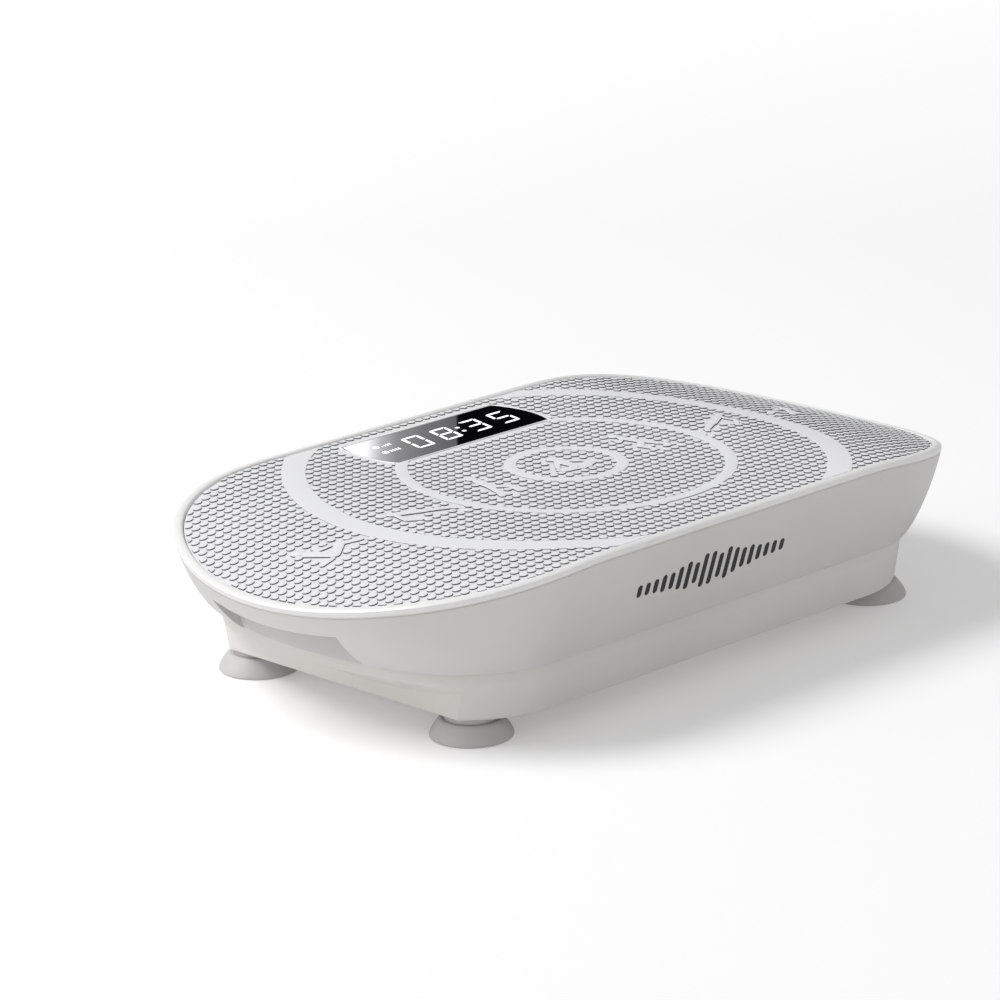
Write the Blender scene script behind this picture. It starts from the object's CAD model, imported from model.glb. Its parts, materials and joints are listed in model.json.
"""A low vibration platform: crowned deck, dotted tread mat, clock display, base tray and feet.

Lengths are in millimetres until a mesh is made. X runs along the length, Y across the width and
Z up from the floor. The hand pockets are in the two X ends, the display lies near the +Y side
and the wave mark is on the -Y side.
"""
import bpy
import json
import math
import numpy as np
from mathutils import Matrix, Vector


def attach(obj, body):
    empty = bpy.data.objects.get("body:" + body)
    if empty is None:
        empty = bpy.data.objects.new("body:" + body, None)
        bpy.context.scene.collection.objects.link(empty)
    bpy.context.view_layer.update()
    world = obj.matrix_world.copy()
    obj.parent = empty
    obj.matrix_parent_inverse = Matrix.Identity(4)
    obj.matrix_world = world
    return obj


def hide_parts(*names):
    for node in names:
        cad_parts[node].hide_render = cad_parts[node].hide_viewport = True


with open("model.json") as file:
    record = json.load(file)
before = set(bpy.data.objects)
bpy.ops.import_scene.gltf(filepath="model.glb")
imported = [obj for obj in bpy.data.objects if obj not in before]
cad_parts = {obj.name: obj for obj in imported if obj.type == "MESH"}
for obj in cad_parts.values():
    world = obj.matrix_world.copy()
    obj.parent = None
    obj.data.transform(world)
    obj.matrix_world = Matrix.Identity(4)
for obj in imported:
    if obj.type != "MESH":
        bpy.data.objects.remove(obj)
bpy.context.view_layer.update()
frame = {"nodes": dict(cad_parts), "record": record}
MM = 0.001


# ---------------------------------------------------------------- shared shape
class Outline:
    """Plan oblong with large end arcs, four corner arcs and straight long sides."""

    def __init__(self, half_len, half_wid, end_r, corner_r):
        self.half_wid, self.end_r, self.corner_r = half_wid, end_r, corner_r
        self.corner_y = half_wid - corner_r
        reach = math.sqrt((end_r - corner_r) ** 2 - self.corner_y ** 2)
        self.end_x = half_len - end_r
        self.corner_x = self.end_x + reach
        self.joint = math.atan2(self.corner_y, reach)      # angle where end and corner arcs meet
        self.joint_y = end_r * math.sin(self.joint)

    def x_at(self, y):
        """Half length at y, which is not negative."""
        if y <= self.joint_y:
            return self.end_x + math.sqrt(self.end_r * self.end_r - y * y)
        drop = self.corner_r * self.corner_r - (y - self.corner_y) ** 2
        return self.corner_x + math.sqrt(max(drop, 0.0))

    def quarter(self, end_ys, n_corner, n_side):
        """Points from the end middle (y=0) to the side middle (x=0).

        end_ys are fixed places on the end arc. Then come n_corner even steps to the start of
        the straight side and n_side steps along it.
        """
        points = [(self.x_at(y), y) for y in end_ys]
        start = math.asin(end_ys[-1] / self.end_r)
        end_run = self.end_r * (self.joint - start)
        corner_run = self.corner_r * (math.pi / 2 - self.joint)
        for i in range(1, n_corner + 1):
            run = (end_run + corner_run) * i / n_corner
            if run < end_run:
                angle = start + run / self.end_r
                points.append((self.end_x + self.end_r * math.cos(angle),
                               self.end_r * math.sin(angle)))
            else:
                angle = self.joint + (run - end_run) / self.corner_r
                points.append((self.corner_x + self.corner_r * math.cos(angle),
                               self.corner_y + self.corner_r * math.sin(angle)))
        for i in range(1, n_side + 1):
            points.append((self.corner_x * (1 - i / n_side), self.half_wid))
        return np.array(points)


DECK_Z = 120.0                         # height of the rim at the middle
CROWN_FLAT, CROWN_R = 120.0, 530.0     # half length of the flat middle; radius beyond it
SEAM_Z = 49.0                          # lower edge of the deck shell
SEAM = Outline(half_len=248.0, half_wid=141.5, end_r=285.0, corner_r=82.0)
RIM = Outline(half_len=290.0, half_wid=165.0, end_r=194.0, corner_r=121.0)
MAT = Outline(half_len=282.4, half_wid=157.4, end_r=186.4, corner_r=113.4)
LENS_Z = 118.45                        # top of the display lens
FOOT_X, FOOT_Y = 193.5, 100.8          # foot centres, mirrored in both axes


def arch(x):
    """Height of the crowned deck at x."""
    beyond = np.clip(np.abs(x) - CROWN_FLAT, 0, None)
    return DECK_Z - (CROWN_R - np.sqrt(CROWN_R ** 2 - beyond ** 2))


def arc_x(run):
    """Plan x of a point a given run along the crowned deck from its middle."""
    angle = np.clip(np.abs(run) - CROWN_FLAT, 0, None) / CROWN_R
    return np.sign(run) * (np.minimum(np.abs(run), CROWN_FLAT) + CROWN_R * np.sin(angle))


def crowned(xy, drop):
    """Plan points laid a given drop below the crown."""
    return np.column_stack([xy, arch(xy[:, 0]) - drop])


def full_loop(quarter):
    """Mirror a quarter into a closed loop, counter-clockwise from (+x, 0)."""
    def sign(x, y):
        return np.array([x, y, 1])[:quarter.shape[1]]
    back = quarter[::-1]
    return np.vstack([quarter, back[1:] * sign(-1, 1), quarter[1:] * sign(-1, -1),
                      back[1:-1] * sign(1, -1)])


def plan_normals(points):
    along = np.roll(points, -1, 0) - np.roll(points, 1, 0)
    out = np.stack([along[:, 1], -along[:, 0]], 1)
    return out / np.linalg.norm(out, axis=1)[:, None]


def pushed(points, directions, depth):
    """The points moved against the given plan directions by one depth or one per point."""
    moved = points.copy()
    moved[:, :2] -= directions * np.broadcast_to(depth, (len(points),))[:, None]
    return moved


def circle(x, y, radius, count=28, shift=0):
    """Polygon on a circle, turned by a share of one step."""
    angles = [2 * math.pi * (k + shift) / count for k in range(count)]
    return [(x + radius * math.cos(a), y + radius * math.sin(a)) for a in angles]


def rect(x0, x1, y0, y1):
    return [(x0, y0), (x1, y0), (x1, y1), (x0, y1)]


# ---------------------------------------------------------------- mesh helpers
def ring_faces(first, second, count):
    """Quads between two rings, each given by its first vertex."""
    return [[first + i, first + (i + 1) % count, second + (i + 1) % count, second + i]
            for i in range(count)]


def band_faces(n_rings, count, wrap=False):
    """Quads between successive rings, and from the last to the first if wrapped."""
    faces = []
    for r in range(n_rings if wrap else n_rings - 1):
        faces += ring_faces(r * count, (r + 1) % n_rings * count, count)
    return faces


def stack_faces(n_rings, count):
    """Bands with a flat bottom and top."""
    top = (n_rings - 1) * count
    return band_faces(n_rings, count) + [list(range(count))[::-1], list(range(top, top + count))]


def cross_strips(first, count, up):
    """Fill a mirrored loop, whose surface bends only along x, with strips across the width."""
    faces = []
    for i in range(count // 2):
        face = [first + k for k in (i, i + 1, -(i + 1) % count, -i % count)]
        face = list(dict.fromkeys(face))        # triangles at the two ends
        faces.append(face if up else face[::-1])
    return faces


def mesh_object(name, verts, faces, materials=(), mat_index=None, smooth=True, sharp=None):
    mesh = bpy.data.meshes.new(name)
    mesh.from_pydata([tuple(v) for v in np.asarray(verts, float) * MM], [], faces)
    mesh.validate()
    ob = bpy.data.objects.new(name, mesh)
    bpy.context.scene.collection.objects.link(ob)
    for material in materials:
        mesh.materials.append(material)
    if mat_index is not None:
        mesh.polygons.foreach_set("material_index", np.asarray(mat_index, np.int32))
    mesh.polygons.foreach_set("use_smooth", np.full(len(mesh.polygons), smooth))
    if sharp is not None:
        mesh.set_sharp_from_angle(angle=math.radians(sharp))
    mesh.update()
    return ob


def flat(x, y, h):
    return (x, y, h)


class Solids:
    """Collects closed solids into one mesh."""

    def __init__(self):
        self.verts, self.faces, self.mats, self.count = [], [], [], 0

    def add(self, verts, faces, mats=None):
        self.verts.append(np.asarray(verts, float))
        self.faces += [[i + self.count for i in face] for face in faces]
        self.mats += mats or [0] * len(faces)
        self.count += len(verts)

    def stack(self, rings, wall_mat=0, peak=None):
        """Rings of 3D points from bottom to top; the lowest band takes wall_mat."""
        count = len(rings[0])
        verts = [point for ring in rings for point in ring]
        faces = stack_faces(len(rings), count)
        if peak is not None:
            faces.pop()
            top = len(verts) - count
            faces += [[top + i, top + (i + 1) % count, len(verts)] for i in range(count)]
            verts.append(peak)
        self.add(verts, faces, [wall_mat] * count + [0] * (len(faces) - count))

    def prism(self, points, levels, place=flat, wall_mat=0, dome=None):
        """Counter-clockwise plan polygon raised through (scale, height) levels.

        place maps x, y, height to 3D; dome is the height of a middle peak.
        """
        points = np.asarray(points, float)
        centre = points.mean(0)
        rings = [[place(x, y, h) for x, y in centre + (points - centre) * scale]
                 for scale, h in levels]
        peak = None if dome is None else place(centre[0], centre[1], dome)
        self.stack(rings, wall_mat, peak)

    def build(self, name, materials=(), smooth=True, sharp=None):
        return mesh_object(name, np.vstack(self.verts), self.faces, materials, self.mats,
                           smooth, sharp)


def cut_away(ob, cutter):
    """Subtract the cutter for good and delete it."""
    modifier = ob.modifiers.new("cut", "BOOLEAN")
    modifier.operation = "DIFFERENCE"
    modifier.solver = "EXACT"
    modifier.object = cutter
    bpy.context.view_layer.update()
    graph = bpy.context.evaluated_depsgraph_get()
    mesh = bpy.data.meshes.new_from_object(ob.evaluated_get(graph))
    uncut = ob.data
    ob.modifiers.clear()
    ob.data = mesh
    bpy.data.meshes.remove(uncut)
    bpy.data.objects.remove(cutter)


def join(target, other, sharp):
    """Join the other object into the target and mark sharp edges afresh."""
    bpy.ops.object.select_all(action="DESELECT")
    target.select_set(True)
    other.select_set(True)
    bpy.context.view_layer.objects.active = target
    bpy.ops.object.join()
    target.data.set_sharp_from_angle(angle=math.radians(sharp))


# ---------------------------------------------------------------- material helpers
def new_material(name):
    material = bpy.data.materials.new(name)
    material.use_nodes = True
    tree = material.node_tree
    return material, tree, tree.nodes.get("Principled BSDF")


def plug(tree, target, inputs):
    """Set inputs by name or index: a socket is linked, anything else is a value."""
    for key, value in inputs.items():
        if isinstance(value, bpy.types.NodeSocket):
            tree.links.new(value, target.inputs[key])
        else:
            target.inputs[key].default_value = value


def add_node(tree, kind, inputs=None, **settings):
    node = tree.nodes.new("ShaderNode" + kind)
    for key, value in settings.items():
        setattr(node, key, value)
    plug(tree, node, inputs or {})
    return node


def coords(tree, output="Object"):
    return add_node(tree, "TexCoord").outputs[output]


def noise(tree, vector, scale, detail=2.0):
    inputs = {"Scale": scale, "Detail": detail, "Vector": vector}
    return add_node(tree, "TexNoise", inputs).outputs["Fac"]


def remap(tree, value, low, high):
    """Map 0..1 to low..high."""
    inputs = {"To Min": low, "To Max": high, "Value": value}
    return add_node(tree, "MapRange", inputs).outputs["Result"]


def ramp(tree, factor, *stops):
    """Colour ramp through (position, colour) stops."""
    node = add_node(tree, "ValToRGB", {"Fac": factor})
    elements = node.color_ramp.elements
    for i in (0, -1):
        elements[i].position = stops[i][0]
        elements[i].color = (*stops[i][1], 1)
    for position, colour in stops[1:-1]:
        elements.new(position).color = (*colour, 1)
    return node.outputs["Color"]


def bump_normal(tree, height, strength, distance):
    inputs = {"Strength": strength, "Distance": distance, "Height": height}
    return add_node(tree, "Bump", inputs).outputs["Normal"]


def moulded(name, colour, rough=0.42, rough_range=0.06, grain_scale=900.0, mottle=0.03, spec=0.5,
            warm=(1.0, 1.0, 1.0), coat=0.0, bump=0.12, wear=0.06):
    """Plastic or rubber with fine grain, slow colour drift, scuffs and lighter edges.

    mottle is the share of colour drift, warm tints its darker side and wear lightens edges.
    """
    material, tree, shader = new_material(name)
    colour = np.array(colour)
    where = coords(tree)
    slow = noise(tree, where, scale=7.0, detail=3.0)
    grain = noise(tree, where, scale=grain_scale)
    scuff = noise(tree, where, scale=60.0, detail=6.0)
    drift = ramp(tree, slow, (0.35, colour * (1 - mottle) * np.array(warm)),
                 (0.65, np.minimum(colour * (1 + mottle), 1.0)))
    point = add_node(tree, "NewGeometry").outputs["Pointiness"]
    edges = add_node(tree, "MapRange", {"From Min": 0.52, "From Max": 0.62, "To Max": wear,
                                        "Value": point})
    rubbed = (*np.minimum(colour * 1.12 + 0.03, 1), 1)
    mix = add_node(tree, "Mix", {"Factor": edges.outputs["Result"], "A": drift, "B": rubbed},
                   data_type="RGBA", blend_type="MIX")
    plug(tree, shader, {
        "Base Color": mix.outputs["Result"],
        "Roughness": remap(tree, scuff, low=rough - rough_range, high=rough + rough_range),
        "Normal": bump_normal(tree, grain, strength=bump, distance=0.00006),
        "Specular IOR Level": spec})
    if coat:
        plug(tree, shader, {"Coat Weight": coat, "Coat Roughness": 0.12})
    return material


def metal(name, colour, rough=0.3, brush=(1, 1, 40), bump=0.1, scale=120.0, tint=0.06,
          metallic=1.0):
    """Metal with grain stretched by brush, a tint range and blotches in its roughness."""
    material, tree, shader = new_material(name)
    colour = np.array(colour)
    where = coords(tree)
    stretched = add_node(tree, "Mapping", {"Scale": brush, "Vector": where}).outputs["Vector"]
    grain = noise(tree, stretched, scale=scale, detail=5.0)
    blotches = noise(tree, where, scale=25.0, detail=3.0)
    plug(tree, shader, {
        "Base Color": ramp(tree, grain, (0.0, colour * (1 - tint)),
                           (1.0, np.minimum(colour * (1 + tint), 1))),
        "Roughness": remap(tree, blotches, low=max(rough - 0.1, 0.05), high=rough + 0.12),
        "Normal": bump_normal(tree, grain, strength=bump, distance=0.00005),
        "Metallic": metallic})
    return material


def circuit(name):
    """Green board with paler traces and small pads."""
    material, tree, shader = new_material(name)
    where = coords(tree)
    traces = add_node(tree, "TexBrick", {
        "Scale": 220.0, "Color1": (0.015, 0.12, 0.05, 1), "Color2": (0.02, 0.16, 0.07, 1),
        "Mortar": (0.05, 0.26, 0.12, 1), "Mortar Size": 0.06, "Vector": where})
    cells = add_node(tree, "TexVoronoi", {"Scale": 260.0, "Vector": where})
    pads = add_node(tree, "Math", {0: cells.outputs["Distance"], 1: 0.13}, operation="LESS_THAN")
    mix = add_node(tree, "Mix", {"Factor": pads.outputs["Value"], "A": traces.outputs["Color"],
                                 "B": (0.6, 0.6, 0.58, 1)}, data_type="RGBA")
    plug(tree, shader, {
        "Base Color": mix.outputs["Result"],
        "Roughness": 0.28,
        "Normal": bump_normal(tree, traces.outputs["Fac"], strength=0.3, distance=0.00008)})
    return material


def glossy_lens(name):
    """Black acrylic with a faint smear in its gloss."""
    material, tree, shader = new_material(name)
    smear = noise(tree, coords(tree), scale=18.0, detail=4.0)
    plug(tree, shader, {
        "Roughness": remap(tree, smear, low=0.02, high=0.06),
        "Base Color": ramp(tree, smear, (0.0, (0.002, 0.002, 0.0025)),
                           (1.0, (0.005, 0.005, 0.006))),
        "IOR": 1.5})
    return material


def lit_bars(name):
    """White light, slightly uneven within each bar."""
    material, tree, shader = new_material(name)
    uneven = noise(tree, coords(tree), scale=240.0)
    plug(tree, shader, {
        "Emission Strength": remap(tree, uneven, low=0.82, high=1.02),
        "Emission Color": (0.97, 0.98, 1.0, 1),
        "Base Color": (0.8, 0.8, 0.8, 1),
        "Roughness": 0.4})
    return material


# ---------------------------------------------------------------- materials
shell_abs = moulded("shell_white_abs", (0.725, 0.713, 0.70), rough=0.38, rough_range=0.05,
                    warm=(0.995, 0.99, 0.98), mottle=0.015, bump=0.10)
pocket_abs = moulded("pocket_grained_abs", (0.60, 0.585, 0.57), rough=0.55, grain_scale=700.0,
                     mottle=0.02, bump=0.3)
rim_abs = moulded("rim_white_abs", (0.93, 0.926, 0.92), rough=0.30, rough_range=0.04,
                  mottle=0.01, bump=0.06)
base_abs = moulded("base_white_abs", (0.82, 0.798, 0.776), rough=0.46, rough_range=0.05,
                   warm=(0.995, 0.985, 0.97), mottle=0.02, bump=0.16)
mat_rubber = moulded("mat_pale_rubber", (0.875, 0.88, 0.89), rough=0.62, rough_range=0.08,
                     mottle=0.02, bump=0.25, grain_scale=1300.0, spec=0.35, wear=0.10)
dot_flank = moulded("mat_dot_flanks", (0.07, 0.072, 0.078), rough=0.75, rough_range=0.08,
                    mottle=0.05, bump=0.25, grain_scale=1300.0, spec=0.2, wear=0.0)
foot_rubber = moulded("foot_grey_rubber", (0.60, 0.594, 0.586), rough=0.52, rough_range=0.08,
                      bump=0.25, grain_scale=1100.0, spec=0.4)
print_black = moulded("side_print_black", (0.012, 0.012, 0.012), rough=0.45, rough_range=0.05,
                      mottle=0.1, bump=0.05)
black_plastic = moulded("black_moulding", (0.025, 0.025, 0.026), rough=0.45, rough_range=0.08,
                        mottle=0.15, bump=0.3)
key_black = moulded("switch_key_black", (0.018, 0.018, 0.02), rough=0.25, mottle=0.1,
                    bump=0.08, coat=0.3)
enamel = moulded("motor_enamel", (0.02, 0.02, 0.022), rough=0.32, rough_range=0.07, mottle=0.2,
                 bump=0.35, grain_scale=500.0)
belt_rubber = moulded("belt_rubber", (0.018, 0.018, 0.018), rough=0.68, rough_range=0.1,
                      mottle=0.2, bump=0.5)
cable_black = moulded("cable_black", (0.02, 0.02, 0.02), rough=0.5, rough_range=0.1,
                      mottle=0.15, bump=0.2)
cable_red = moulded("cable_red", (0.33, 0.02, 0.015), rough=0.45, rough_range=0.1,
                    mottle=0.1, bump=0.2)
board_cases = moulded("component_cases", (0.06, 0.055, 0.05), rough=0.4, rough_range=0.1,
                      mottle=0.4, bump=0.3, grain_scale=400.0)
zinc_sheet = metal("zinc_sheet", (0.60, 0.61, 0.62), rough=0.34, brush=(40, 1, 1), tint=0.08)
screw_zinc = metal("plated_screws", (0.70, 0.70, 0.66), rough=0.28, brush=(6, 6, 6), tint=0.05)
ground_steel = metal("ground_steel", (0.66, 0.66, 0.67), rough=0.16, brush=(1, 60, 1), tint=0.05)
cast_iron = metal("painted_casting", (0.12, 0.12, 0.125), rough=0.55, brush=(3, 3, 3), bump=0.6,
                  scale=60, tint=0.2, metallic=0.2)
alloy = metal("die_cast_alloy", (0.62, 0.63, 0.64), rough=0.42, brush=(3, 3, 3), bump=0.3,
              scale=90)
brass = metal("turned_brass", (0.70, 0.52, 0.24), brush=(1, 40, 1), tint=0.08)
board_green = circuit("circuit_green")
lens_black = glossy_lens("display_black_acrylic")
bar_light = lit_bars("lit_white_bars")
band_flank = moulded("mat_band_edges", (0.52, 0.53, 0.55), rough=0.7, rough_range=0.08,
                     bump=0.25, grain_scale=1300.0, spec=0.3)

# ---------------------------------------------------------------- deck shell
WALL = 2.4                              # wall thickness
SIDE_BULGE, END_BULGE = 1.2, 4.3        # wall bulge on the sides, and what the ends add
POCKET_ZONE = 70.0                      # half width of the part of each end with fixed columns
POCKET_OUT, POCKET_IN = 57.7, 60.4      # half widths of the pockets, outside and inside the wall
POCKET_DEPTH = 19.0                     # under the upper edge, running out to nothing below
POCKET_ROWS = range(3, 16)              # wall bands that carry the pocket grain
END_YS = [0.0, 6, 12, 18, 24, 30, 36, 42, 47, 51, 54, 55.6, 56.6, 57.2, 57.6, 58.2, 58.8, 59.6,
          60.2, 60.8, 62, 64, 67, POCKET_ZONE]
# (height above the seam, inward offset) of the rounded lower edge
LOWER_EDGE = [(0.0, 1.3), (0.15, 0.7), (0.5, 0.25), (1.1, 0.03)]
# (height from the pocket's upper edge, share of its depth)
POCKET_EDGE = [(-1.2, 0.97), (-0.5, 0.84), (-0.1, 0.05), (0.5, 0.0)]
# (depth below the rim, inward offset) of the groove and shoulder at the top of the wall
RIM_GROOVE = [(6.3, 0.0), (5.9, 0.08), (5.6, 0.42), (5.1, 0.48), (4.75, 0.12), (4.35, 0.0),
              (3.7, 0.0), (2.8, 0.14), (2.0, 0.45)]
# (inward offset, depth below the crown) over the rim and down to the tray under the mat
RIM_ROLL = [(0.95, 1.25), (1.65, 0.68), (2.55, 0.25), (3.6, 0.04), (4.7, 0.0), (5.6, 0.12),
            (6.4, 0.5), (6.95, 1.1), (7.2, 1.9), (7.25, 3.2), (7.25, 5.1)]

seam_xy = full_loop(SEAM.quarter(END_YS, n_corner=44, n_side=26))
rim_xy = full_loop(RIM.quarter(END_YS, n_corner=44, n_side=26))
n_cols = len(seam_xy)
rim_z = arch(rim_xy[:, 0])
lean = rim_xy - seam_xy
lean = lean / np.linalg.norm(lean, axis=1)[:, None]
rim_out = plan_normals(rim_xy)
seam_out = plan_normals(seam_xy)
rim_y = np.abs(rim_xy[:, 1])
on_end = (np.abs(seam_xy[:, 0]) > 200) & (rim_y <= POCKET_ZONE + 0.01)
bulge = SIDE_BULGE + END_BULGE * np.abs(seam_out[:, 0]) ** 0.8
pocket_z = 71.0 + 3.8 * np.clip(rim_y / 58.0, 0, 1) ** 2       # upper edge of the pockets


def bulge_share(share):
    """Share of the bulge, nothing at the seam and rim; 0.347 scales its peak to about 1."""
    share = np.clip(share, 0, 1)
    return (share ** 0.6) * (1 - share) / 0.347


def wall(share):
    """Outer wall points, one per column; share is 0 at the seam and 1 at the rim."""
    share = np.broadcast_to(np.asarray(share, float), (n_cols,))
    xy = (seam_xy + (rim_xy - seam_xy) * share[:, None]
          + lean * (bulge * bulge_share(share))[:, None])
    return np.column_stack([xy, SEAM_Z + (rim_z - SEAM_Z) * share])


def share_at(z):
    return (z - SEAM_Z) / (rim_z - SEAM_Z)


def wall_z(z):
    points = wall(np.clip(share_at(z), 0, 1))
    points[:, 2] = z
    return points


def scoop(half_width, softness):
    """Pocket depth of every column, slightly less towards the pocket's sides."""
    depth = np.zeros(n_cols)
    inside = on_end & (rim_y <= half_width)
    depth[inside] = POCKET_DEPTH * (1 - softness * (rim_y[inside] / half_width) ** 8)
    return depth


def taper(z):
    """Share of the pocket's depth at height z."""
    return np.clip((z - SEAM_Z) / (pocket_z - SEAM_Z), 0, 1) ** 0.85


def edge_row(rise, inward, depth):
    z = SEAM_Z + rise
    return pushed(pushed(wall_z(z), seam_out, inward), lean, depth * taper(z))


depth_out, depth_in = scoop(POCKET_OUT, softness=0.06), scoop(POCKET_IN, softness=0.05)
edge_top = LOWER_EDGE[-1][0]
rows = [edge_row(rise, inward, depth_out) for rise, inward in LOWER_EDGE]
for f in np.linspace(0.05, 0.93, 10):
    z = SEAM_Z + edge_top + (pocket_z - SEAM_Z - edge_top) * f
    rows.append(pushed(wall_z(z), lean, depth_out * taper(z)))
for rise, share in POCKET_EDGE:
    rows.append(pushed(wall(share_at(pocket_z + rise)), lean, depth_out * share))
above_pocket, below_groove = share_at(pocket_z + 0.5), share_at(rim_z - 7.2)
for f in np.linspace(0.1, 1.0, 14):
    rows.append(wall(above_pocket + (below_groove - above_pocket) * f))
rows += [pushed(wall(share_at(rim_z - drop)), rim_out, inward) for drop, inward in RIM_GROOVE]
n_wall = len(rows)
rows += [crowned(rim_xy - rim_out * inward, drop) for inward, drop in RIM_ROLL]
n_out = len(rows)

# inside of the wall, from the rim back down to the lower edge
rows.append(crowned(rim_xy - rim_out * 9.5, 8.3))
inner_top, inner_pocket_z = rim_z - 9.5, pocket_z + WALL
for f in np.linspace(0.0, 1.0, 7):
    z = inner_top + (inner_pocket_z + 0.6 - inner_top) * f
    rows.append(pushed(wall(share_at(z)), rim_out, WALL * (1.0 if f > 0 else 1.6)))
rows.append(pushed(wall(share_at(inner_pocket_z - 0.1)), lean, WALL + depth_in * 0.95))
for f in np.linspace(0.15, 1.0, 6):
    z = inner_pocket_z + (SEAM_Z + 0.1 - inner_pocket_z) * f
    rows.append(pushed(wall_z(z), lean, WALL + depth_in * taper(z)))
rows.append(pushed(edge_row(0.0, 0.0, depth_in), lean, WALL - 0.1))

in_pocket = depth_out > 0
grain_mats = np.where(in_pocket | np.roll(in_pocket, -1), 2, 0).tolist()
mats = []
for r in range(n_out - 1):
    if r in POCKET_ROWS:
        mats += grain_mats
    else:
        mats += [0 if r < n_wall - 4 else 1] * n_cols
faces = band_faces(n_out, n_cols) + cross_strips((n_out - 1) * n_cols, n_cols, up=True)
for r in range(n_out, len(rows)):
    faces += ring_faces(r * n_cols, (r + 1) % len(rows) * n_cols, n_cols)
faces += cross_strips(n_out * n_cols, n_cols, up=False)
mats += [0] * (len(faces) - len(mats))
shell = mesh_object("deck_shell", np.vstack(rows), faces, [shell_abs, rim_abs, pocket_abs],
                    mats, sharp=32)
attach(shell, "platform")
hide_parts("top_shell")

# ---------------------------------------------------------------- tread mat sheet
MAT_DROP = 1.9                          # mat surface below the crown
# (inward offset, depth below the crown) of the sheet's edge, from its underside up
SHEET_EDGE = [(0.3, 4.95), (0.0, 4.4), (0.0, 2.7), (0.12, 2.25), (0.5, 1.95), (1.0, MAT_DROP)]

mat_xy = full_loop(MAT.quarter(range(0, 72, 4), n_corner=30, n_side=24))
mat_out = plan_normals(mat_xy)
n_mat, n_levels = len(mat_xy), len(SHEET_EDGE)
faces = band_faces(n_levels, n_mat)
faces += cross_strips((n_levels - 1) * n_mat, n_mat, up=True)
faces += cross_strips(0, n_mat, up=False)
sheet = mesh_object("mat_sheet_tmp",
                    np.vstack([crowned(mat_xy - mat_out * inward, drop)
                               for inward, drop in SHEET_EDGE]),
                    faces, [mat_rubber], sharp=40)

# display outline: straight long edges, bowed ends
DISPLAY_HALF, DISPLAY_BOW = 72.6, 6.0   # half length of the long edges; bow of the ends
DISPLAY_Y0, DISPLAY_Y1 = 87.6, 145.0
DISPLAY_Y = 116.5                       # nominal middle, for dot clearance and slanted marks


def bow_radius(half_chord):
    return (half_chord * half_chord + DISPLAY_BOW * DISPLAY_BOW) / (2 * DISPLAY_BOW)


def display_loop(grow, n_end=14, n_long=24):
    half, y0, y1 = DISPLAY_HALF + grow, DISPLAY_Y0 - grow, DISPLAY_Y1 + grow
    middle, half_chord = (y0 + y1) / 2, (y1 - y0) / 2
    radius = bow_radius(half_chord)
    centre = half + DISPLAY_BOW - radius
    reach = math.asin(half_chord / radius)
    angles = np.linspace(-reach, reach, n_end)[:-1]
    points = [(-half + 2 * half * i / n_long, y0) for i in range(n_long)]
    points += [(centre + radius * math.cos(a), middle + radius * math.sin(a)) for a in angles]
    points += [(half - 2 * half * i / n_long, y1) for i in range(n_long)]
    points += [(-centre - radius * math.cos(a), middle - radius * math.sin(a)) for a in angles]
    return np.array(points)


def near_display(x, y, clearance):
    if not DISPLAY_Y0 - clearance < y < DISPLAY_Y1 + clearance:
        return False
    radius = bow_radius((DISPLAY_Y1 - DISPLAY_Y0) / 2)
    bow = math.sqrt(max(radius * radius - (y - DISPLAY_Y) ** 2, 0))
    return abs(x) < DISPLAY_HALF + clearance + DISPLAY_BOW - radius + bow


cutter = Solids()
cutter.prism(display_loop(1.55), [(1, 100.0), (1, 130.0)])
cut_away(sheet, cutter.build("cut_display"))

# ---------------------------------------------------------------- mat relief
relief = Solids()


def on_mat(x, y, h):
    return (x, y, arch(x) - MAT_DROP + h)


# Exercise figures. A part is a disc (x, y, radius) or a stroke (x0, y0, x1, y1, radius).
SIT = [(0, 17.0, 4.6), (0, 9.5, 0, -5, 4.2), (-3.5, 8.5, -13, -2, 2.1), (3.5, 8.5, 13, -2, 2.1),
       (-3, -8.5, -16, -6.5, 2.7), (3, -8.5, 16, -6.5, 2.7), (-14.5, -10.5, 7, -14.5, 2.7),
       (14.5, -10.5, 0, -14.8, 2.7)]
LUNGE = [(1, 22.5, 4.3), (0, 15.5, -2.5, 1.5, 3.6), (1.5, 14, 9.5, 9.5, 1.9),
         (9.5, 9.5, 7.5, 17.0, 1.8), (-2.5, 0.5, 6.5, -8.5, 2.6), (6.5, -8.5, 4.0, -20.5, 2.2),
         (4.0, -20.8, 8.5, -21.2, 1.8), (-3.5, 0.5, -7.5, -11, 2.6),
         (-7.5, -11, -12.5, -20.5, 2.2)]
PLANK = [(-19.5, 12.5, 4.1), (-14.0, 8.5, 4.5, -3.0, 3.4), (4.5, -3.0, 19, -11.0, 2.6),
         (19, -11, 21.5, -14.8, 1.9), (-13.0, 6.5, -15.5, -7.0, 2.0),
         (-15.5, -7.0, -9.5, -13.5, 1.9), (-9.5, -13.8, -4.5, -14.2, 1.7)]
VSIT = [(-13.5, 16.0, 4.5), (-12.0, 9.0, -4.0, -8.0, 3.6), (-10.5, 7.5, 3.0, 4.5, 2.0),
        (-3.5, -9.0, 9.5, 0.5, 2.9), (9.5, 0.5, 20.5, -6.0, 2.4),
        (-8.5, -11.0, -18.0, -12.0, 1.9)]
# parts, centre x, centre y, scale, 1 or -1 to mirror in x
FIGURES = [(SIT, 0, -2, 0.92, 1), (LUNGE, -70, -1, 1.0, 1), (LUNGE, 70, -1, 1.0, -1),
           (PLANK, -144, -3, 1.0, 1), (PLANK, 144, -3, 1.0, -1), (VSIT, -219, -1, 1.02, 1),
           (VSIT, 219, -1, 1.02, -1)]


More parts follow.
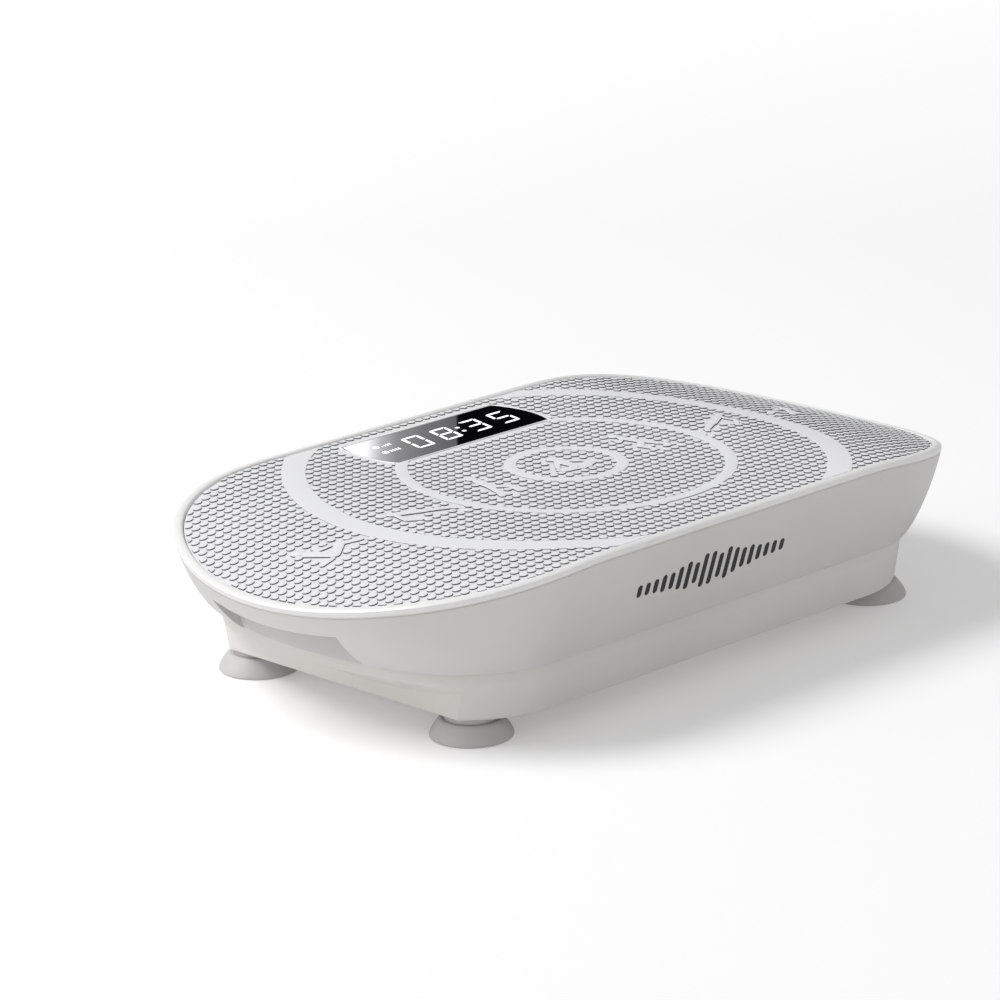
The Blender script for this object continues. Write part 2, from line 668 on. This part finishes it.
def placed(part, x, y, scale, flip):
    ends = [(x + flip * part[k] * scale, y + part[k + 1] * scale)
            for k in range(0, len(part) - 1, 2)]
    return [value for end in ends for value in end] + [part[-1] * scale]


figures = [[placed(part, *where) for part in parts] for parts, *where in FIGURES]


def part_distance(part, x, y):
    if len(part) == 3:
        return math.hypot(x - part[0], y - part[1]) - part[2]
    ax, ay, bx, by, radius = part
    t = ((x - ax) * (bx - ax) + (y - ay) * (by - ay)) / ((bx - ax) ** 2 + (by - ay) ** 2)
    t = max(0.0, min(1.0, t))
    return math.hypot(x - ax - t * (bx - ax), y - ay - t * (by - ay)) - radius


def inside_mat(x, y):
    """Distance inside the mat's outline, and the outward direction there."""
    x_sign, y_sign = (1 if x >= 0 else -1), (1 if y >= 0 else -1)
    dx, dy = abs(x) - MAT.corner_x, abs(y) - MAT.corner_y
    if dx <= 0:
        return MAT.half_wid - abs(y), (0.0, float(y_sign))
    radius = MAT.corner_r
    if math.atan2(dy, dx) < MAT.joint:
        dx, dy, radius = abs(x) - MAT.end_x, abs(y), MAT.end_r
    away = math.hypot(dx, dy)
    return radius - away, (x_sign * dx / away, y_sign * dy / away)


def clip(poly, nx, ny, limit):
    """Keep the part of poly where nx*x + ny*y <= limit."""
    kept = []
    for here, there in zip(poly, poly[1:] + poly[:1]):
        before = nx * here[0] + ny * here[1] - limit
        after = nx * there[0] + ny * there[1] - limit
        if before <= 0:
            kept.append(here)
        if before < 0 < after or after < 0 < before:
            t = before / (before - after)
            kept.append((here[0] + t * (there[0] - here[0]), here[1] + t * (there[1] - here[1])))
    return kept


RINGS = [(176.0, 192.6), (107.2, 115.8), (34.0, 42.4)]   # inner, outer radius of smooth bands
PITCH_X, PITCH_Y, ROW_Y = 7.33, 7.66, 1.9                # dot grid; y of its middle row
DOT_R, DOT_SIDES, DOT_MIN_AREA = 2.85, 14, 6.5
EDGE_GAP = 1.0                                           # plain margin at the mat's edge
DOT_LEVELS = [(1.0, -0.15), (0.985, 0.74), (0.93, 0.93), (0.80, 1.01)]


def dot_outline(x, y):
    """Dot polygon trimmed by the mat's edge and the bands, or None where no dot belongs."""
    inside, out = inside_mat(x, y)
    if inside < -1.0 or near_display(x, y, clearance=3.4):
        return None
    if min(part_distance(part, x, y) for parts in figures for part in parts) < 2.1:
        return None
    poly = circle(x, y, DOT_R, DOT_SIDES, shift=0.5)
    if inside < DOT_R + EDGE_GAP:
        edge_x, edge_y = x + out[0] * (inside - EDGE_GAP), y + out[1] * (inside - EDGE_GAP)
        poly = clip(poly, *out, out[0] * edge_x + out[1] * edge_y)
    away = math.hypot(x, y)
    for inner, outer in RINGS:
        if -DOT_R < away - inner < DOT_R - 0.6:
            poly = clip(poly, x / away, y / away, inner)
        elif -DOT_R < outer - away < DOT_R - 0.6:
            poly = clip(poly, -x / away, -y / away, -outer)
        elif inner <= away <= outer:
            return None
    if len(poly) < 3:
        return None
    px, py = np.array(poly).T
    area = 0.5 * abs(np.dot(px, np.roll(py, -1)) - np.dot(py, np.roll(px, -1)))
    return None if area < DOT_MIN_AREA else poly


for i in range(-40, 41):
    x = float(arc_x((i + 0.5) * PITCH_X))
    if abs(x) > 283:
        continue
    for j in range(-22, 23):
        poly = dot_outline(x, ROW_Y + j * PITCH_Y)
        if poly:
            relief.prism(poly, DOT_LEVELS, on_mat, wall_mat=1, dome=1.04)

# section of a smooth band: (share of its width from the inside, height)
BAND_H = 0.8
BAND_PROFILE = [(0.0, -0.2), (0.0, BAND_H - 0.18), (0.02, BAND_H - 0.03), (0.045, BAND_H),
                (0.955, BAND_H), (0.98, BAND_H - 0.03), (1.0, BAND_H - 0.18), (1.0, -0.2)]


def smooth_band(ring, start, end, steps, closed=False):
    """Raised arc; start and end each hold the angles on the inner and outer radius."""
    verts, faces, mats = [], [], []
    n_sections = steps if closed else steps + 1
    for k in range(n_sections):
        inner, outer = [radius * np.array([math.cos(a), math.sin(a)])
                        for radius, a in zip(ring, start + (end - start) * (k / steps))]
        for share, h in BAND_PROFILE:
            x, y = inner + (outer - inner) * share
            verts.append(on_mat(x, y, h))
    size = len(BAND_PROFILE)
    for k in range(steps):
        here, there = k * size, (k + 1) % n_sections * size
        for i in range(size):
            j = (i + 1) % size
            faces.append([here + j, there + j, there + i, here + i])
            mats.append(2 if i in (0, 6) else 0)
    if not closed:
        faces += [list(range(size))[::-1], list(range(steps * size, (steps + 1) * size))]
        mats += [0, 0]
    relief.add(verts, faces, mats)


def angles_at(y, ring):
    """Angles at which a ring's inner and outer radius reach y."""
    return np.array([math.asin(y / radius) for radius in ring])


reach = angles_at(MAT.half_wid - 1.1, RINGS[0])
smooth_band(RINGS[0], -reach, reach, 80)
smooth_band(RINGS[0], math.pi - reach, math.pi + reach, 80)
reach = angles_at(DISPLAY_Y0 - 1.6, RINGS[1])
smooth_band(RINGS[1], math.pi - reach, 2 * math.pi + reach, 150)
smooth_band(RINGS[2], np.zeros(2), np.full(2, 2 * math.pi), 96, closed=True)


def capsule(ax, ay, bx, by, radius):
    """Round-ended outline of a stroke from a to b."""
    heading = math.atan2(by - ay, bx - ax)
    steps = max(1, int(math.hypot(bx - ax, by - ay) / 5))

    def offset(x, y, angle):
        return (x + radius * math.cos(angle), y + radius * math.sin(angle))

    def end(x, y, start):
        return [offset(x, y, start + math.pi * t / 12) for t in range(13)]

    def side(shares, angle):
        return [offset(ax + (bx - ax) * w, ay + (by - ay) * w, angle) for w in shares]

    left, right = heading + math.pi / 2, heading - math.pi / 2
    return (end(ax, ay, left) + side([k / steps for k in range(1, steps)], right)
            + end(bx, by, right) + side([1 - k / steps for k in range(1, steps)], left))


FIGURE_H = 0.98
for parts in figures:
    for k, part in enumerate(parts):
        top = FIGURE_H - 0.012 * k      # each part a hair lower, so overlaps read as one form
        if len(part) == 3:
            inner = (part[2] - 0.35) / part[2]
            relief.prism(circle(*part), [(1, -0.2), (1, top - 0.25),
                                         ((1 + inner) / 2, top - 0.05), (inner, top)],
                         on_mat, wall_mat=1)
        else:
            levels = [(0.0, -0.2), (0.0, top - 0.25), (0.15, top - 0.05), (0.4, top)]
            relief.stack([[on_mat(x, y, h) for x, y in capsule(*part[:4], part[4] - inward)]
                          for inward, h in levels], wall_mat=1)

tread_mat = relief.build("mat_relief_tmp", [mat_rubber, dot_flank, band_flank], sharp=50)
join(tread_mat, sheet, sharp=40)
tread_mat.name = "tread_mat_dotted"
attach(tread_mat, "platform")
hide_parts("tread_mat")

# ---------------------------------------------------------------- display lens and bezel
# (growth of the display outline, height)
DISPLAY_FLOOR = 115.02
LENS_LEVELS = [(-0.35, DISPLAY_FLOOR), (-0.35, LENS_Z - 0.45), (-0.5, LENS_Z - 0.15),
               (-0.85, LENS_Z)]
BEZEL_LEVELS = [(-0.3, DISPLAY_FLOOR), (1.35, DISPLAY_FLOOR), (1.35, LENS_Z - 0.1),
                (1.1, LENS_Z + 0.22), (0.6, LENS_Z + 0.3), (0.0, LENS_Z + 0.22),
                (-0.3, LENS_Z - 0.1)]


def display_points(levels):
    return [(x, y, z) for grow, z in levels for x, y in display_loop(grow)]


n_loop = len(display_loop(0.0))
lens = mesh_object("display_glass", display_points(LENS_LEVELS),
                   stack_faces(len(LENS_LEVELS), n_loop), [lens_black], sharp=12)
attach(lens, "platform")
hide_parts("display_lens")
bezel = mesh_object("display_bezel", display_points(BEZEL_LEVELS),
                    band_faces(len(BEZEL_LEVELS), n_loop, wrap=True), [rim_abs], sharp=35)
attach(bezel, "platform")

# ---------------------------------------------------------------- lit clock and marks
DIGIT_W, DIGIT_Y0, DIGIT_Y1 = 15.8, 103.0, 129.0
DIGIT_Y = (DIGIT_Y0 + DIGIT_Y1) / 2
BAR_W, BAR_GAP = 2.5, 0.55
SLANT = 6.0 / 25.0                      # sideways lean per unit of y
MARK_SLANT = SLANT * 0.8
# (digit centre x, lit bars): a top, b and c +X side, d bottom, e and f -X side, g middle
DIGITS = [(-27.2, "abcdef"), (-0.2, "abcdefg"), (28.2, "abcdg"), (55.4, "acdfg")]
lit = Solids()


def digit_bars(centre):
    """Mitred polygons of a digit's seven bars."""
    gap, w = BAR_GAP, BAR_W
    x0, x1, y0, y1, mid = centre - DIGIT_W / 2, centre + DIGIT_W / 2, DIGIT_Y0, DIGIT_Y1, DIGIT_Y
    return {
        "a": [(x0 + gap, y1), (x0 + gap + w, y1 - w), (x1 - gap - w, y1 - w), (x1 - gap, y1)],
        "d": [(x0 + gap, y0), (x1 - gap, y0), (x1 - gap - w, y0 + w), (x0 + gap + w, y0 + w)],
        "g": [(x0 + gap + w / 2, mid), (x0 + gap + w, mid - w / 2), (x1 - gap - w, mid - w / 2),
              (x1 - gap - w / 2, mid), (x1 - gap - w, mid + w / 2), (x0 + gap + w, mid + w / 2)],
        "f": [(x0, y1 - gap), (x0, mid + gap), (x0 + w, mid + gap + w / 2),
              (x0 + w, y1 - gap - w)],
        "e": [(x0, mid - gap), (x0, y0 + gap), (x0 + w, y0 + gap + w),
              (x0 + w, mid - gap - w / 2)],
        "b": [(x1, mid + gap), (x1, y1 - gap), (x1 - w, y1 - gap - w),
              (x1 - w, mid + gap + w / 2)],
        "c": [(x1, y0 + gap), (x1, mid - gap), (x1 - w, mid - gap - w / 2),
              (x1 - w, y0 + gap + w)],
    }


def soften(poly, size=0.45):
    """Cut each corner with two points."""
    cut = []
    for i, corner in enumerate(poly):
        corner = np.array(corner)
        for other in (poly[i - 1], poly[(i + 1) % len(poly)]):
            side = np.array(other) - corner
            length = np.linalg.norm(side)
            cut.append(tuple(corner + side / length * min(size, length * 0.4)))
    return cut


def lit_levels(top_scale):
    return [(1.0, LENS_Z - 0.05), (1.0, LENS_Z + 0.06), (top_scale, LENS_Z + 0.10)]


def mark(poly):
    """Thin slanted indicator mark."""
    lit.prism([(x + (y - DISPLAY_Y) * MARK_SLANT, y) for x, y in poly],
              [(1, LENS_Z - 0.05), (1, LENS_Z + 0.05)])


def mark_stroke(x0, y0, x1, y1, width):
    start, end = np.array([x0, y0], float), np.array([x1, y1], float)
    along = (end - start) / np.linalg.norm(end - start)
    side = np.array([-along[1], along[0]]) * width / 2
    mark([start - side, end - side, end + side, start + side])


def mark_ring(x, y, radius, width=0.7, count=28):
    inner, outer = radius - width / 2, radius + width / 2
    for k in range(count):
        a0, a1 = 2 * math.pi * k / count, 2 * math.pi * (k + 1) / count
        mark([(x + r * math.cos(a), y + r * math.sin(a))
              for r, a in ((inner, a0), (outer, a0), (outer, a1), (inner, a1))])


def mark_levels(x, bottom, top, rise=0.0, pitch=2.6):
    """Four upright bars, each higher than the last by rise."""
    for k in range(4):
        mark_stroke(x + pitch * k, bottom, x + pitch * k, top + rise * k, 1.2)


for centre, names in DIGITS:
    bars = digit_bars(centre)
    for name in names:
        lit.prism([(x + (y - DIGIT_Y) * SLANT, y) for x, y in soften(bars[name])],
                  lit_levels(top_scale=0.93))
for x, y in ((13.0, 111.5), (15.2, 120.6)):      # colon
    lit.prism(circle(x, y, 1.75, 20), lit_levels(top_scale=0.9))
# upper row: dial with two hands, then rising bars
mark_ring(-59.0, 126.6, 2.5)
mark_stroke(-59.0, 126.6, -59.0, 128.2, 0.6)
mark_stroke(-59.0, 126.6, -57.8, 126.6, 0.6)
mark_levels(-54.0, bottom=124.4, top=126.0, rise=0.95)
# lower row: two concentric rings, then level bars
mark_ring(-59.8, 113.4, 2.5)
mark_ring(-59.8, 113.4, 0.9, count=14)
mark_levels(-54.8, bottom=111.2, top=115.4)
digits = lit.build("clock_digits_lit", [bar_light], smooth=False)
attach(digits, "platform")
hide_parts("display_digits")


# ---------------------------------------------------------------- printed side mark
def on_side(x, z, h):
    """Point standing h off the wall of the -Y side."""
    share = (z - SEAM_Z) / (DECK_Z - SEAM_Z)
    y = SEAM.half_wid + (RIM.half_wid - SEAM.half_wid) * share + SIDE_BULGE * bulge_share(share)
    return (x, -(y + h), z)


WAVE_X, WAVE_Z, WAVE_PITCH, WAVE_R = -92.0, 82.5, 7.6, 2.1   # first bar, pitch, bar end radius
wave = Solids()
for k in range(19):                     # upright round-ended bars that swell in the middle
    x = WAVE_X + WAVE_PITCH * k
    swell = math.exp(-((k - 9.0) / 5.0) ** 2)
    half = 2.0 + 9.0 * swell * (0.45 + 0.55 * abs(math.cos(k * 1.12)))
    outline = []
    for z, start in ((WAVE_Z - half, math.pi), (WAVE_Z + half, 0)):
        outline += [(x + WAVE_R * math.cos(a), z + WAVE_R * math.sin(a))
                    for a in np.linspace(start, start + math.pi, 8)]
    wave.prism(outline, [(1, -0.3), (1, 0.10)], on_side)
wave_mark = wave.build("side_wave_mark", [print_black], smooth=False)
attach(wave_mark, "platform")

# ---------------------------------------------------------------- base tray
TRAY_TOP = 41.0                         # above this the tray's walls stand upright
TRAY_Z = 16.0                           # underside
END_X = 213.0                           # flat lower part of the ends; they flare above it
NOTCH_Y = 66.1                          # half width of the lowered lip behind the pockets
TRAY_WALL, FLARE_WALL = 2.6, 5.6


def tray_outline(z):
    grow = (min(z, TRAY_TOP) - TRAY_Z) / 25.0
    return Outline(240.0 + 4.3 * grow, 135.5 + 2.5 * grow, 280.0 + 3.0 * grow,
                   78.0 + 2.0 * grow)


def flare_x(y, z):
    radius = 400.0 - (z - 23.0) / 18.0 * 117.0 if z < TRAY_TOP else 283.0
    return 209.0 + (min(z, TRAY_TOP) - 23.0) / 18.0 * 35.3 - y * y / (2 * radius)


def bisect(low, high, go_up):
    """Halve the span 40 times, raising its low end where go_up is true."""
    for _ in range(40):
        middle = (low + high) / 2
        low, high = (middle, high) if go_up(middle) else (low, middle)
    return low, high


def corner_start(z):
    """y where the flat or flared end meets the side curve."""
    outline = tray_outline(z)

    def past_end(y):
        return outline.x_at(y) - max(END_X, flare_x(y, z))

    if z >= 40.9 or past_end(outline.joint_y) < 0:
        return outline.joint_y
    return bisect(outline.joint_y, outline.half_wid - 0.01, lambda y: past_end(y) > 0)[0]


def crease_z(share):
    """Height where the flare starts, at a share of the way across the end."""
    return sum(bisect(20.0, 40.5, lambda z: flare_x(share * corner_start(z), z) < END_X)) / 2


joint_y = corner_start(TRAY_TOP)
# places across the end, as shares of the way to the corner
END_SHARES = [0, .09, .18, .27, .36, .45, .54, .62, .69, .745, (NOTCH_Y - 0.2) / joint_y,
              (NOTCH_Y + 0.2) / joint_y, .86, .9, .94, .97, 1.0]
N_TRAY_CORNER, N_TRAY_SIDE = 18, 16


def tray_row(heights):
    """Closed loop with a height for every end column; the last height serves all the rest."""
    points = []
    for share, z in zip(END_SHARES, heights):
        y = share * corner_start(z)
        x = tray_outline(z).x_at(y)
        if z < TRAY_TOP:
            x = min(x, max(END_X, flare_x(y, z)))
        points.append((x, y, z))
    z = heights[-1]
    outline, y0 = tray_outline(z), corner_start(z)
    start = math.atan2(y0 - outline.corner_y, outline.x_at(y0) - outline.corner_x)
    for k in range(1, N_TRAY_CORNER + 1):
        angle = start + (math.pi / 2 - start) * k / N_TRAY_CORNER
        points.append((outline.corner_x + outline.corner_r * math.cos(angle),
                       outline.corner_y + outline.corner_r * math.sin(angle), z))
    for k in range(1, N_TRAY_SIDE + 1):
        points.append((outline.corner_x * (1 - k / N_TRAY_SIDE), outline.half_wid, z))
    return full_loop(np.array(points))


def inset(row, depth, z=None, rise=0.0):
    moved = pushed(row, plan_normals(row[:, :2]), depth)
    if z is not None:
        moved[:, 2] = z
    moved[:, 2] += rise
    return moved


creases = [crease_z(share) for share in END_SHARES]
crease = np.array(creases + creases[-1:])
# top edge, inside the shell's skirt
lip = np.array([50.6 if share * joint_y < NOTCH_Y else 57.0 for share in END_SHARES] + [57.0])
level = np.ones(len(crease))
outer = [tray_row(17.4 * level), tray_row(20.0 * level)]
for low, high, shares in (
        (20.0, crease, (0.35, 0.6, 0.8, 0.94, 1.0)),
        (crease, TRAY_TOP, (0.06, 0.2, 0.35, 0.5, 0.65, 0.78, 0.88, 0.94, 0.975, 1.0)),
        (TRAY_TOP, lip - 1.1, (0.12, 0.4, 0.75, 1.0))):
    outer += [tray_row(low + (high - low) * f) for f in shares]

# rounded bottom edge, outer wall, rounded lip, inner wall, inner bottom edge
rows = [inset(outer[0], depth, z)
        for depth, z in ((1.45, TRAY_Z), (0.75, 16.12), (0.25, 16.5))] + outer
rows += [inset(outer[-1], depth, rise=rise) for depth, rise in (
    (0.12, 0.5), (0.5, 0.92), (1.1, 1.1), (1.7, 0.98), (2.3, 0.55), (TRAY_WALL, 0.0))]
for row in outer[-2::-1]:
    if row[:, 2].min() > 20.5:
        flared = (np.abs(row[:, 0]) > 213.3) & (row[:, 2] < 40.9)
        rows.append(inset(row, np.where(flared, FLARE_WALL, TRAY_WALL)))
rows += [inset(outer[1], depth, z) for depth, z in ((2.8, 20.2), (3.6, 18.95), (4.6, 18.8))]
tray = mesh_object("base_tray", np.vstack(rows), stack_faces(len(rows), len(rows[0])),
                   [base_abs], sharp=30)


def slot_outline(x, y, length, width, count=8):
    radius = width / 2
    half = length / 2 - radius
    quarter = math.pi / 2
    return [(x + side * half + radius * math.cos(a), y + radius * math.sin(a))
            for side, start in ((1, -quarter), (-1, quarter))
            for a in np.linspace(start, start + math.pi, count)]


openings = Solids()
for x, y in ((-112, -30), (112, -30), (112, 30)):           # groups of slots in the floor
    for k in range(-2, 3):
        openings.prism(slot_outline(x, y + 7 * k, length=46, width=3), [(1, 14.0), (1, 21.0)])
for x_side in (-1, 1):                                      # round recesses in the underside
    for y_side in (-1, 1):
        openings.prism(circle(110 * x_side, 95 * y_side, 4.6), [(1, 14.0), (1, 18.4)])
# two rectangular openings through the +Y wall
openings.prism(rect(57.7, 82.3, 128, 150), [(1, 22.7), (1, 39.3)])
openings.prism(rect(105.0, 125.0, 128, 150), [(1, 20.5), (1, 41.5)])
cut_away(tray, openings.build("cut_base", smooth=False))

RIB_HALF = 1.1
FLOOR_Z = 18.7                          # just under the tray's inner floor
inner_parts = Solids()
for x_side in (-1, 1):                  # upright end ribs, and a round boss over each foot
    x = x_side * 229.5
    inner_parts.prism(rect(x - RIB_HALF, x + RIB_HALF, -62, 62),
                      [(1, 40.5), (1, 55.4), (0.998, 56.0)])
    for y_side in (-1, 1):
        inner_parts.prism(circle(x_side * FOOT_X, y_side * FOOT_Y, 13, 40),
                          [(1, FLOOR_Z), (1, 22.1), (0.985, 22.4)])
for y in (-60, 0, 60):                  # long floor ribs
    inner_parts.prism(rect(-200, 200, y - RIB_HALF, y + RIB_HALF), [(1, FLOOR_Z), (1, 22.4)])
join(tray, inner_parts.build("base_ribs_tmp", [base_abs], smooth=False), sharp=30)
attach(tray, "base")
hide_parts("base_shell")

# ---------------------------------------------------------------- feet
# closed (radius, height) section of a foot, turned about its own axis
FOOT = [(2.6, 9.4), (2.6, 15.6), (3.4, 15.95), (17.0, 15.95), (17.65, 15.6), (17.8, 15.0),
        (17.75, 13.6), (17.3, 12.5), (17.2, 12.1), (17.6, 11.95), (18.7, 12.35), (19.6, 12.5),
        (20.5, 12.2), (21.5, 11.4), (22.6, 10.2), (23.7, 8.7), (24.8, 7.1), (25.7, 5.6),
        (26.45, 4.3), (27.0, 3.1), (27.33, 2.0), (27.38, 1.2), (26.95, 0.5), (26.2, 0.15),
        (25.4, 0.0), (24.3, 0.0), (23.6, 0.25), (22.8, 0.8), (21.6, 1.7), (20.0, 2.75),
        (18.0, 3.95), (15.8, 5.1), (13.4, 6.0), (10.6, 6.5), (9.2, 6.7), (8.9, 7.2), (8.9, 9.0),
        (8.6, 9.4)]
N_TURN = 96
cups = Solids()
for x_side in (-1, 1):
    for y_side in (-1, 1):
        verts = [(x, y, z) for radius, z in FOOT
                 for x, y in circle(x_side * FOOT_X, y_side * FOOT_Y, radius, N_TURN)]
        cups.add(verts, [face[::-1] for face in band_faces(len(FOOT), N_TURN, wrap=True)])
feet = cups.build("rubber_feet", [foot_rubber], sharp=50)
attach(feet, "base")
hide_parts("foot_cups")

# ---------------------------------------------------------------- materials of the CAD pieces
SLOT_MATERIALS = dict(
    shell_white=shell_abs, base_white=base_abs, mat_rubber=mat_rubber, foot_rubber=foot_rubber,
    lens_black=lens_black, digit_white=bar_light, steel=zinc_sheet, zinc=screw_zinc,
    bearing_steel=ground_steel, iron=cast_iron, cast_alloy=alloy, motor_black=enamel,
    black_plastic=black_plastic, switch_black=key_black, belt_rubber=belt_rubber, brass=brass,
    circuit_green=board_green, cable_black=cable_black, cable_red=cable_red)
NODE_MATERIALS = dict(board_parts=board_cases)       # pieces that differ from their slot
node_slots = {part["node"]: part["material_slot"] for part in frame["record"]["subparts"]}
for name, piece in frame["nodes"].items():
    slot = node_slots.get(name)
    material = NODE_MATERIALS.get(name) or SLOT_MATERIALS.get(slot, black_plastic)
    if not piece.data.materials:
        piece.data.materials.append(material)
    for k in range(len(piece.data.materials)):
        piece.data.materials[k] = material

# ---------------------------------------------------------------- floor (metres from here on)
FLOOR_HALF = 30
GLOW_NEAR, GLOW_FAR = 0.22, 0.9         # floor glow seen by the camera, close by and far off
GLOW_BOUNCE = 0.13                      # floor glow seen by diffuse rays
scene = bpy.context.scene


def floor_material():
    """White that glows towards the horizon and is clear from below."""
    material, tree, shader = new_material("floor_white")
    rays = add_node(tree, "LightPath").outputs
    seen = add_node(tree, "Math", {0: rays["Is Camera Ray"], 1: GLOW_NEAR}, operation="MULTIPLY")
    glow = add_node(tree, "Math", {0: rays["Is Diffuse Ray"], 1: GLOW_BOUNCE,
                                   2: seen.outputs["Value"]}, operation="MULTIPLY_ADD")
    position = add_node(tree, "NewGeometry").outputs["Position"]
    away = add_node(tree, "VectorMath", {0: position}, operation="LENGTH").outputs["Value"]
    fade = add_node(tree, "MapRange", {"From Min": 1.2, "From Max": 8.0, "To Min": GLOW_NEAR,
                                       "To Max": GLOW_FAR, "Value": away})
    plug(tree, seen, {1: fade.outputs["Result"]})
    plug(tree, shader, {
        "Base Color": (0.86, 0.86, 0.86, 1), "Roughness": 0.9, "Specular IOR Level": 0.0,
        "Emission Color": (1, 1, 1, 1), "Emission Strength": glow.outputs["Value"]})
    below = add_node(tree, "NewGeometry").outputs["Backfacing"]
    clear = add_node(tree, "BsdfTransparent").outputs["BSDF"]
    mix = add_node(tree, "MixShader", {"Fac": below, 1: shader.outputs["BSDF"], 2: clear})
    plug(tree, tree.nodes["Material Output"], {"Surface": mix.outputs["Shader"]})
    return material


floor_mesh = bpy.data.meshes.new("floor")
floor_mesh.from_pydata([(x, y, 0) for x, y in rect(-FLOOR_HALF, FLOOR_HALF,
                                                   -FLOOR_HALF, FLOOR_HALF)],
                       [], [(0, 1, 2, 3)])
floor = bpy.data.objects.new("floor", floor_mesh)
scene.collection.objects.link(floor)
floor_mesh.materials.append(floor_material())

# ---------------------------------------------------------------- world and lights
world = bpy.data.worlds.new("studio")
scene.world = world
world.use_nodes = True
tree = world.node_tree
camera_ray = add_node(tree, "LightPath").outputs["Is Camera Ray"]
# A lights the scene, B is the backdrop the camera sees
strength = add_node(tree, "Mix", {"Factor": camera_ray, "A": 0.41, "B": 1.0}, data_type="FLOAT")
plug(tree, tree.nodes["Background"], {"Strength": strength.outputs["Result"],
                                      "Color": (1, 1, 1, 1)})


def disc_light(name, location, size, power, target=(0, 0, 0.06)):
    light = bpy.data.lights.new(name, "AREA")
    light.shape = "DISK"
    light.size = size
    light.energy = power
    ob = bpy.data.objects.new(name, light)
    scene.collection.objects.link(ob)
    ob.location = location
    aim = Vector(target) - Vector(location)
    ob.rotation_euler = aim.to_track_quat("-Z", "Y").to_euler()


disc_light("key", location=(-3.2, 2.8, 5.8), size=3.4, power=305)
disc_light("side_soft", location=(-2.9, 2.3, 1.3), size=1.2, power=10)

# ---------------------------------------------------------------- camera
EYE = Vector((-2.0516239, -2.0111510, 0.9487445))
FORWARD = Vector((0.67378126, 0.68167406, -0.28520046))
RIGHT = Vector((0.70654239, -0.70734491, -0.02147139))
UP = Vector((0.21637158, 0.18703919, 0.95822736))
lens_data = bpy.data.cameras.new("cam")
lens_data.sensor_width = 36.0
lens_data.sensor_fit = "HORIZONTAL"
lens_data.lens = 159.39576
lens_data.clip_start, lens_data.clip_end = 0.05, 100
camera = bpy.data.objects.new("cam", lens_data)
scene.collection.objects.link(camera)
camera.matrix_world = Matrix([*zip(RIGHT, UP, -FORWARD, EYE), (0, 0, 0, 1)])
scene.camera = camera
scene.view_settings.view_transform = "Standard"
scene.view_settings.exposure = 0.0


# ---------------------------------------------------------------- cards mirrored in the display
def mirrored(x, y, distance):
    """Point along the sight line mirrored at x, y (mm) on the lens."""
    point = Vector((x * MM, y * MM, LENS_Z * MM))
    sight = (point - EYE).normalized()
    return point + Vector((sight.x, sight.y, -sight.z)) * distance


def card(name, corners, distance, strength, colour):
    """Glowing card seen only in reflections; colour(tree) gives a value or a socket."""
    mesh = bpy.data.meshes.new(name)
    mesh.from_pydata([tuple(mirrored(x, y, distance)) for x, y in corners], [], [(0, 1, 2, 3)])
    uv = mesh.uv_layers.new(name="uv")
    for k, corner in enumerate(rect(0, 1, 0, 1)):
        uv.data[k].uv = corner
    material, tree, _ = new_material(name)
    tree.nodes.clear()
    output = add_node(tree, "OutputMaterial")
    emission = add_node(tree, "Emission")
    plug(tree, emission, {"Color": colour(tree), "Strength": strength})
    plug(tree, output, {"Surface": emission.outputs["Emission"]})
    mesh.materials.append(material)
    ob = bpy.data.objects.new(name, mesh)
    scene.collection.objects.link(ob)
    for ray in ("camera", "diffuse", "shadow", "transmission"):
        setattr(ob, "visible_" + ray, False)


def pale_fade(tree):
    """Bright over most of the card, falling to dark at its edge."""
    split = add_node(tree, "SeparateXYZ", {"Vector": coords(tree, "UV")})
    greys = [(position, (grey, grey, grey * 1.02)) for position, grey in
             ((0.685, 0.40), (0.725, 0.22), (0.78, 0.125), (0.88, 0.08))]
    return ramp(tree, split.outputs["X"], (0.645, (0.66, 0.66, 0.66)), *greys,
                (1.0, (0.055, 0.055, 0.057)))


# ends of the pale card's dark edge, and its width, as seen on the lens
EDGE_LOW, EDGE_HIGH, CARD_W = (-58.2, 45.6), (87.1, 195.0), 260
card("pale_card", [(EDGE_LOW[0] - CARD_W, EDGE_LOW[1]), EDGE_LOW, EDGE_HIGH,
                   (EDGE_HIGH[0] - CARD_W, EDGE_HIGH[1])],
     distance=0.85, strength=9.0, colour=pale_fade)
card("dark_card", [(-420, -220), (320, -220), (480, 440), (-260, 440)],
     distance=0.95, strength=0.0, colour=lambda tree: (0.0, 0.0, 0.0, 1))
